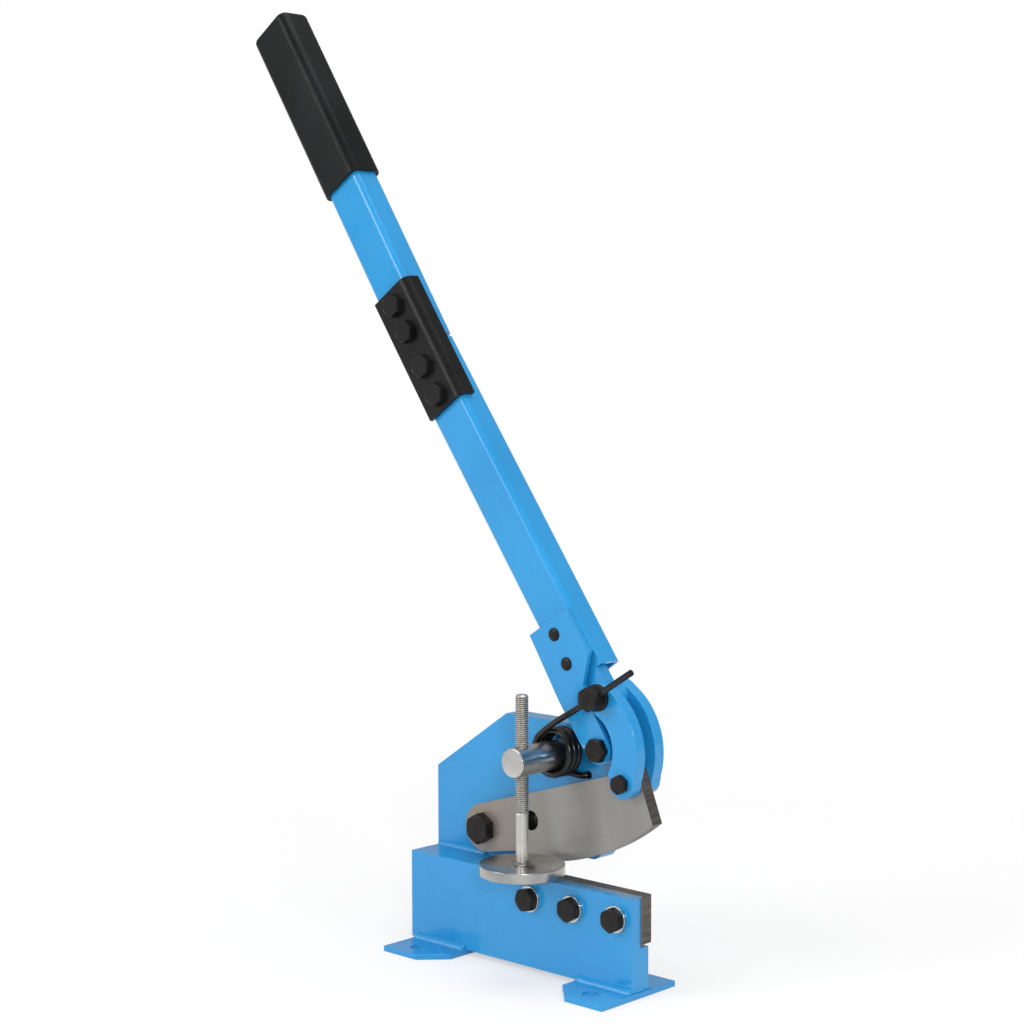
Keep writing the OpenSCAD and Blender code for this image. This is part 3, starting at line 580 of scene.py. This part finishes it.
def makeBolts(name, b):
    surfaces = []
    for centre, spin in zip(b["centres"], b["spins"]):
        surfaces.append(hexagonSurface(centre, b["width"], b["top"], b["seat"], spin))
        threadFrom = max(b["seat"] + boltForm["leastShank"], b["end"] - boltForm["thread"])
        surfaces.append(threadedSurface(centre, "y", b["diameter"] / 2, b["pitch"], b["seat"], b["end"],
                                        threadFrom))
    putPiece(name, surfaces, b.get("finish", oxide), b["body"], "dark_steel", [b["node"]],
             bevel=boltForm["bevel"])


for boltName, settings in bolts.items():
    makeBolts(boltName, settings)

# Nuts and washers

nuts = {
    "bladePivotNut": {"node": "blade_pivot_nut", "body": "frame", "width": 17, "bore": 5.0,
                      "from": 33.0, "to": 41.0, "centres": [(-44.5, 77.3)], "spin": 1},
    "leverPivotNut": {"node": "lever_pivot_nut", "body": "frame", "width": 13, "bore": 4.0,
                      "from": 33.0, "to": 39.5, "centres": [(54.0, 139.4)], "spin": -1},
    "linkNut": {"node": "link_nut", "body": "links", "width": 10, "bore": 3.0,
                "from": 27.9, "to": 32.9, "centres": [(73.95, 122.45)], "spin": 0},
    "studNut": {"node": "stud_nut", "body": "lever", "width": 10, "bore": 3.0,
                "from": 28.1, "to": 30.8, "centres": [(56.8, 171.2)], "spin": 0},
    "sleeveNuts": {"node": "sleeve_nuts", "body": "lever", "width": 13, "bore": 4.0,
                   "from": 29.2, "to": 35.7, "centres": bolts["sleeveBolts"]["centres"], "spin": 34},
}

for nutName, n in nuts.items():
    surfaces = [hexagonSurface(centre, n["width"], n["from"], n["to"], n["spin"], n["bore"], True)
                for centre in n["centres"]]
    putPiece(nutName, surfaces, oxide, n["body"], "dark_steel", [n["node"]], bevel=0.2)

washers = {"outer": 8.0, "inner": 4.0, "front": -6.6, "back": -5.0, "edge": 0.35}


def makeWashers(w):
    ring = [(w["inner"], w["back"]), (w["inner"], w["front"]),
            (w["outer"], w["front"]), (w["outer"], w["back"])]
    profile = softened(ring + ring[:1], w["edge"])
    surfaces = [turnedSurface(profile, centre, "y") for centre in bolts["lowerBladeBolts"]["centres"]]
    putPiece("lowerBladeWashers", surfaces, brightSteel, "frame", "bright_steel",
             ["lower_blade_washers"])


makeWashers(washers)

# Head screws: domed ends in front of the head plate, hexagon heads behind the tube

headScrews = {"places": ((7.8, 53.9), (9.4, 73.1)), "radius": 4.0, "front": 4.6, "dome": 1.1,
              "headFrom": 29.2, "headTo": 33.8, "width": 13, "overlap": 0.5}


def makeHeadScrews(h):
    # the dome's radius and height follow a quarter of an ellipse
    surfaces = []
    t = np.radians(np.linspace(0, 90, 8))
    dome = [(h["radius"] * math.sin(a), h["front"] + h["dome"] * (1 - math.cos(a))) for a in t]
    for place in h["places"]:
        centre = onLever(*place)
        back = h["headFrom"] + h["overlap"]
        profile = dome + [(h["radius"], back), (0, back)]
        surfaces.append(turnedSurface(profile, centre, "y", 48))
        surfaces.append(hexagonSurface(centre, h["width"], h["headTo"], h["headFrom"], lever["tilt"]))
    putPiece("headScrews", surfaces, oxide, "lever", "dark_steel", ["head_screws"], bevel=0.2, sharp=40)


makeHeadScrews(headScrews)

# Spring stud: hexagon head, a neck that the wire passes through, a round flange and a threaded end

stud = {"centre": (56.8, 171.2), "seat": 2.7, "flange": 2.8, "flangeRadius": 8.0, "neck": 4.6,
        "neckRadius": 5.5, "head": 3.6, "headWidth": 13, "spin": 30, "shank": 4.0, "shankEnd": 28.1,
        "tail": 3.0, "pitch": 1.0, "end": 31.6, "edge": 0.5, "overlap": 1}


def makeStud(s):
    back = s["seat"]
    mid = back - s["flange"]
    front = mid - s["neck"]
    inHead, inShank = front - s["overlap"], s["shankEnd"] - s["overlap"]
    corners = [(0, inHead), (s["neckRadius"], inHead), (s["neckRadius"], mid), (s["flangeRadius"], mid),
               (s["flangeRadius"], back), (s["shank"], back), (s["shank"], s["shankEnd"]),
               (0, s["shankEnd"])]
    surfaces = [turnedSurface(softened(corners, s["edge"]), s["centre"], "y"),
                hexagonSurface(s["centre"], s["headWidth"], front - s["head"], front, s["spin"]),
                threadedSurface(s["centre"], "y", s["tail"], s["pitch"], inShank, s["end"],
                                s["shankEnd"])]
    putPiece("springStud", surfaces, oxide, "lever", "dark_steel", ["spring_stud"], bevel=0.2, sharp=40)


makeStud(stud)
print("bolts, nuts, washers and stud made")

# Hold-down: polished cross bar, threaded rod, turned disc

crossBar = {"centre": (17.7, 131.9), "radius": 8.75, "front": -29.0, "back": 35.9, "chamfer": 0.4,
            "edge": 0.3}


def makeHoldDown():
    c = crossBar
    corners = [(0, c["front"]), (c["radius"] - c["chamfer"], c["front"]),
               (c["radius"], c["front"] + c["chamfer"]), (c["radius"], c["back"]), (0, c["back"])]
    putPiece("crossBar", [turnedSurface(softened(corners, c["edge"]), c["centre"], "y", 96)], barSteel,
             "frame", "bright_steel", ["hold_down_bar"])
    r = rod
    surface = threadedSurface(r["centre"], "z", r["radius"], r["pitch"], r["low"], r["high"],
                              r["thread"], 48, 12, r["depth"], r["shank"])
    putPiece("holdDownRod", [surface], threadSteel, "hold_down", "bright_steel", ["hold_down_screw"],
             sharp=60)
    d = disc
    corners = [(0, d["low"]), (d["radius"], d["low"]), (d["radius"], d["high"]),
               (d["collar"], d["high"]), (d["collar"] - d["collarSlope"], d["collarTop"]),
               (d["bore"], d["collarTop"]), (0, d["collarTop"] - d["dish"])]
    putPiece("pressureDisc", [turnedSurface(softened(corners, d["edge"]), d["centre"], "z", 128)],
             turnedSteel, "hold_down", "bright_steel", ["hold_down_disc"], sharp=40)


makeHoldDown()

# Return spring: foot in the rear plate, coil round the cross bar, long leg through the stud

spring = {"wire": 3.8, "radius": 13.2, "pitch": 4.25, "start": -94, "sweep": 1218, "shift": (0.9, 1.5),
          "coilBack": 17.5, "anchor": (34.5, 120.0), "anchorDepth": 6.7, "bend": 4.0, "plate": 19.8,
          "outside": 2.0, "dip": 0.3, "legAngle": 32.0, "legLayer": -2.4, "entry": 8.0, "free": 34.4,
          "lead": 16.0, "leadForward": 0.08, "sides": 20, "perTurn": 48, "groove": 0.5,
          "follow": (31.4, -2.4, 141.4), "held": (52.1, -2.4, 168.3)}


def springPath(s):
    # foot, quarter bend, coil falling one pitch a turn, one easy curve, then straight through the stud
    middle = np.array(crossBar["centre"]) + s["shift"]
    t = np.radians(np.linspace(0, 90, 9))
    foot = np.array([[s["anchor"][0], s["plate"] + s["anchorDepth"], s["anchor"][1]],
                     [s["anchor"][0], s["plate"] + s["outside"], s["anchor"][1]]])
    bend = np.stack([s["anchor"][0] - s["bend"] * (1 - np.cos(t)),
                     s["coilBack"] + s["bend"] * (1 - np.sin(t)),
                     s["anchor"][1] - s["dip"] * np.sin(t)], axis=-1)
    a = np.linspace(0, s["sweep"], int(s["sweep"] / 360 * s["perTurn"]))
    turn = np.radians(s["start"] - a)
    coil = np.stack([middle[0] + s["radius"] * np.cos(turn), s["coilBack"] - s["pitch"] * a / 360,
                     middle[1] + s["radius"] * np.sin(turn)], axis=-1)
    along = np.array([math.cos(math.radians(s["legAngle"])), 0, math.sin(math.radians(s["legAngle"]))])
    entry = np.array([stud["centre"][0], s["legLayer"], stud["centre"][1]]) - s["entry"] * along
    onward = np.array([math.sin(turn[-1]), -s["leadForward"], -math.cos(turn[-1])])
    leave = coil[-1] + s["lead"] * onward
    arrive = entry - s["lead"] * along
    u = np.linspace(0, 1, 41)[1:, None]
    leg = ((1 - u) ** 3 * coil[-1] + 3 * (1 - u) ** 2 * u * leave
           + 3 * (1 - u) * u ** 2 * arrive + u ** 3 * entry)
    tip = entry + np.array([[s["entry"] + s["free"] - s["wire"]], [s["entry"] + s["free"]]]) * along
    return np.concatenate([foot, bend, coil, leg, tip])


def makeSpring(s):
    # a ring of points square to the path at every point of it; the side direction is carried along
    # without twist, and both ends close flat with a shallow groove inside the rim
    path = springPath(s)
    ahead = np.gradient(path, axis=0)
    ahead /= np.linalg.norm(ahead, axis=1)[:, None]
    side = np.zeros_like(path)
    carried = np.array([1.0, 0.0, 0.0])
    for index, direction in enumerate(ahead):
        carried = carried - carried.dot(direction) * direction
        carried /= np.linalg.norm(carried)
        side[index] = carried
    other = np.cross(ahead, side)
    radius = s["wire"] / 2
    t = np.radians(np.array([0, 30, 60]))
    narrow = radius - s["groove"] + s["groove"] * np.sin(t)
    inward = s["groove"] - s["groove"] * np.cos(t)
    size = np.concatenate([[0], narrow, np.full(len(path), radius), narrow[::-1], [0]])
    shift = np.concatenate([[0], inward, np.zeros(len(path)), -inward[::-1], [0]])
    pick = np.concatenate([np.zeros(4, int), np.arange(len(path)), np.full(4, len(path) - 1)])
    centre = path[pick] + ahead[pick] * shift[:, None]
    angle = np.arange(s["sides"]) * fullTurn / s["sides"]
    points = (centre[:, None] + size[:, None, None] * (np.cos(angle)[:, None] * side[pick][:, None]
                                                       + np.sin(angle)[:, None] * other[pick][:, None]))
    piece = putPiece("returnSpring", [(points.reshape(-1, 3), gridQuads(len(centre), s["sides"]))],
                     wireBlack, None, "dark_steel", ["torsion_spring"], sharp=60)
    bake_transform(piece)


makeSpring(spring)
print("hold-down and spring made")

# Grip: a thick sleeve of soft plastic with a rounded, closed end

grip = {"left": -2.8, "front": 9.2, "wide": 30.0, "deep": 20.0, "corner": 3.5, "wall": 2.6,
        "bottom": 405.5, "top": 534.5, "round": 3.2, "lip": 0.8, "inside": 3, "lipStep": 0.05,
        "leastCorner": 0.4}


def roundedRectangle(inset, g, perCorner=10):
    # a rectangle with round corners, moved in by the inset all round, anticlockwise
    corner = max(g["corner"] + g["wall"] - inset, g["leastCorner"])
    wide = g["wide"] + 2 * g["wall"] - 2 * inset
    deep = g["deep"] + 2 * g["wall"] - 2 * inset
    middle = np.array([g["left"] + g["wide"] / 2, g["front"] + g["deep"] / 2])
    t = np.radians(np.linspace(0, 90, perCorner))
    quarter = np.stack([np.cos(t), np.sin(t)], axis=-1) * corner
    parts = []
    for turn, (sx, sy) in enumerate(((1, 1), (-1, 1), (-1, -1), (1, -1))):
        c, s = math.cos(turn * math.pi / 2), math.sin(turn * math.pi / 2)
        turnedQuarter = quarter @ np.array([[c, s], [-s, c]])
        parts.append(turnedQuarter + np.array([sx * (wide / 2 - corner), sy * (deep / 2 - corner)]))
    return np.concatenate(parts) + middle


def makeGrip(g):
    # rows of the section, each at its inset and height along the lever: inner lip, rounded lower
    # rim, wall, rounded top and end face
    t = np.radians(np.linspace(0, 90, 7))
    lip = [(g["wall"], g["bottom"] + g["inside"]), (g["wall"] - g["lipStep"], g["bottom"] + g["lip"])]
    lip += [(g["lip"] * (1 - math.sin(a)), g["bottom"] + g["lip"] * (1 - math.cos(a))) for a in t]
    end = [(g["round"] * (1 - math.cos(a)), g["top"] - g["round"] * (1 - math.sin(a))) for a in t]
    rows = lip + end
    points = []
    for inset, along in rows:
        section = roundedRectangle(inset, g)
        x, z = onLever(section[:, 0], np.full(len(section), along), lever["kink"])
        points.append(np.stack([x, section[:, 1], z], axis=-1))
    for row in (points[0], points[-1]):
        centre = row.mean(axis=0)
        closing = np.tile(centre, (len(row), 1))
        points = [closing] + points if row is points[0] else points + [closing]
    grid = np.array(points)
    putPiece("grip", [(grid.reshape(-1, 3), gridQuads(len(grid), grid.shape[1]))], gripBlack,
             "lever", "black_plastic", ["grip"], sharp=50)


makeGrip(grip)

# Weld beads, rippled along their run and rounded off at their ends

welds = {"fillerTop": {"from": -91.7, "to": -49.7, "y": 19.8, "z": 58.5, "leg": 2.6, "side": -1},
         "leftFootBack": {"from": -88.3, "to": -44.8, "y": 9.6, "z": 3.5, "leg": 4.0, "side": 1},
         "rightFootBack": {"from": 47.0, "to": 89.3, "y": 9.6, "z": 3.5, "leg": 4.0, "side": 1},
         "leftFootFront": {"from": -88.3, "to": -44.8, "y": -5.0, "z": 3.5, "leg": 3.4, "side": -1},
         "rightFootFront": {"from": 47.0, "to": 89.3, "y": -5.0, "z": 3.5, "leg": 3.4, "side": -1}}
barWeld = {"inner": 8.75, "leg": 3.0, "plate": 33.0, "steps": 160}
bead = {"fullness": 1.25, "steady": 0.94, "arc": 1.6, "arcSize": 0.04, "wander": 0.41,
        "wanderSize": 0.02, "end": 2.2, "endSize": 0.45}


def ripple(run):
    # small arcs one after the other along the run, with a slow wander
    arcs = bead["arcSize"] * np.abs(np.cos(run * math.pi / bead["arc"]))
    return bead["steady"] + arcs + bead["wanderSize"] * np.sin(run * bead["wander"])


def beadSection():
    # a quarter of a circle, flattened a little by a power of the cosine and sine, with its corner
    t = np.radians(np.linspace(0, 90, 9))
    u = np.concatenate([np.cos(t) ** bead["fullness"], [0]])
    v = np.concatenate([np.sin(t) ** bead["fullness"], [0]])
    return u, v


def beadSurface(w):
    # the section carried along x, smaller towards both ends; its legs lie on the two faces it joins
    run = np.linspace(w["from"], w["to"], int((w["to"] - w["from"]) * 4))
    fromEnd = np.clip(np.minimum(run - w["from"], w["to"] - run) / bead["end"], 0, 1)
    rounding = bead["endSize"] + (1 - bead["endSize"]) * np.sqrt(1 - (1 - fromEnd) ** 2)
    size = w["leg"] * ripple(run) * rounding
    u, v = beadSection()
    y = w["y"] + w["side"] * size[:, None] * u
    z = w["z"] + size[:, None] * v
    rows = np.stack([np.broadcast_to(run[:, None], y.shape), y, z], axis=-1)
    ends = [np.tile(rows[i].mean(axis=0), (1, len(u), 1)) for i in (0, -1)]
    grid = np.concatenate([ends[0], rows, ends[1]])
    return grid.reshape(-1, 3), gridQuads(len(grid), grid.shape[1])


def beadRing(w):
    # the same section carried round the cross bar behind the rear plate
    turn = np.arange(w["steps"]) * fullTurn / w["steps"]
    u, v = beadSection()
    size = w["leg"] * ripple(turn * w["inner"])
    radius = w["inner"] + size[:, None] * u
    x = crossBar["centre"][0] + radius * np.cos(turn)[:, None]
    z = crossBar["centre"][1] + radius * np.sin(turn)[:, None]
    grid = np.stack([x, w["plate"] + size[:, None] * v, z], axis=-1)
    return grid.reshape(-1, 3), gridQuads(len(grid), grid.shape[1], True)


beads = [beadSurface(w) for w in welds.values()] + [beadRing(barWeld)]
putPiece("weldBeads", beads, blueGloss, "frame", "blue_paint", ["frame_welds"], sharp=70)
print("grip and welds made")

# Floor, world and studio lights

studio = {"floor": 40.0, "floorGlow": 0.515, "floorColour": 0.42, "fadeFrom": 0.3, "fadeTo": 0.75,
          "world": 0.42}


def stageMaterial(s):
    # the lens and mirrors see a floor that keeps its shadow near the object and is plain white
    # further off; other light sees a plain pale one
    material = bpy.data.materials.new("paleFloor")
    material.use_nodes = True
    tree = material.node_tree
    tree.nodes.clear()
    plain = addNode(tree, "ShaderNodeBsdfDiffuse", {"Color": (0.8, 0.8, 0.8, 1)})
    seen = addNode(tree, "ShaderNodeBsdfDiffuse", {"Color": (*[s["floorColour"]] * 3, 1)})
    glow = addNode(tree, "ShaderNodeEmission", {"Strength": s["floorGlow"]})
    both = addNode(tree, "ShaderNodeAddShader")
    far = addNode(tree, "ShaderNodeEmission", {"Strength": 1.0})
    fade = addNode(tree, "ShaderNodeMixShader")
    choose = addNode(tree, "ShaderNodeMixShader")
    place = addNode(tree, "ShaderNodeTexCoord").outputs["Object"]
    away = distanceFrom(tree, place, (0, 0, 0), (1, 1, 0))
    tree.links.new(rangeOf(tree, away, 0, 1, s["fadeFrom"], s["fadeTo"]), fade.inputs[0])
    tree.links.new(seen.outputs[0], both.inputs[0])
    tree.links.new(glow.outputs[0], both.inputs[1])
    tree.links.new(both.outputs[0], fade.inputs[1])
    tree.links.new(far.outputs[0], fade.inputs[2])
    tree.links.new(seenByLens(tree), choose.inputs[0])
    tree.links.new(plain.outputs[0], choose.inputs[1])
    tree.links.new(fade.outputs[0], choose.inputs[2])
    tree.links.new(choose.outputs[0], addNode(tree, "ShaderNodeOutputMaterial").inputs["Surface"])
    return material


def seenByLens(tree):
    rays = addNode(tree, "ShaderNodeLightPath")
    total = rays.outputs["Is Camera Ray"]
    for name in ("Is Glossy Ray", "Is Transmission Ray"):
        join = addNode(tree, "ShaderNodeMath", operation="MAXIMUM")
        tree.links.new(total, join.inputs[0])
        tree.links.new(rays.outputs[name], join.inputs[1])
        total = join.outputs[0]
    return total


def makeStage(s):
    half = s["floor"] / 2
    mesh = bpy.data.meshes.new("floor")
    corners = [(-half, -half, 0), (half, -half, 0), (half, half, 0), (-half, half, 0)]
    mesh.from_pydata(corners, [], [(0, 1, 2, 3)])
    mesh.materials.append(stageMaterial(s))
    floor = bpy.data.objects.new("floor", mesh)
    scene.collection.objects.link(floor)
    world = bpy.data.worlds.new("studio")
    scene.world = world
    world.use_nodes = True
    tree = world.node_tree
    light = tree.nodes["Background"]
    light.inputs["Strength"].default_value = s["world"]
    light.inputs["Color"].default_value = (1, 1, 1, 1)
    white = addNode(tree, "ShaderNodeBackground", {"Strength": 1.0, "Color": (1, 1, 1, 1)})
    choose = addNode(tree, "ShaderNodeMixShader")
    tree.links.new(addNode(tree, "ShaderNodeLightPath").outputs["Is Camera Ray"], choose.inputs[0])
    tree.links.new(light.outputs[0], choose.inputs[1])
    tree.links.new(white.outputs[0], choose.inputs[2])
    tree.links.new(choose.outputs[0], tree.nodes["World Output"].inputs["Surface"])


lamps = {
    "frontSoft": {"place": (-1.3, -2.5, 1.5), "size": 1.7, "power": 42.5},
    "rightSoft": {"place": (2.4, -0.4, 2.0), "size": 1.4, "power": 20, "mirrored": False},
    "cornerStrip": {"place": (1.5, -1.35, 0.75), "size": 0.3, "power": 14},
    "topSoft": {"place": (0.1, 0.3, 3.2), "size": 2.2, "power": 46},
}


def addLamp(name, s):
    # a square lamp turned to the part; one that isn't mirrored leaves no streak on polished steel
    data = bpy.data.lights.new(name, "AREA")
    data.shape = "SQUARE"
    data.size = s["size"]
    data.energy = s["power"]
    lamp = bpy.data.objects.new(name, data)
    lamp.location = s["place"]
    lamp.visible_glossy = s.get("mirrored", True)
    aim = Vector((0, 0, 0.2)) - Vector(s["place"])
    lamp.rotation_euler = aim.to_track_quat("-Z", "Y").to_euler()
    scene.collection.objects.link(lamp)


makeStage(studio)
for lampName, settings in lamps.items():
    addLamp(lampName, settings)
scene.view_settings.view_transform = "Standard"
print("stage and lights set")
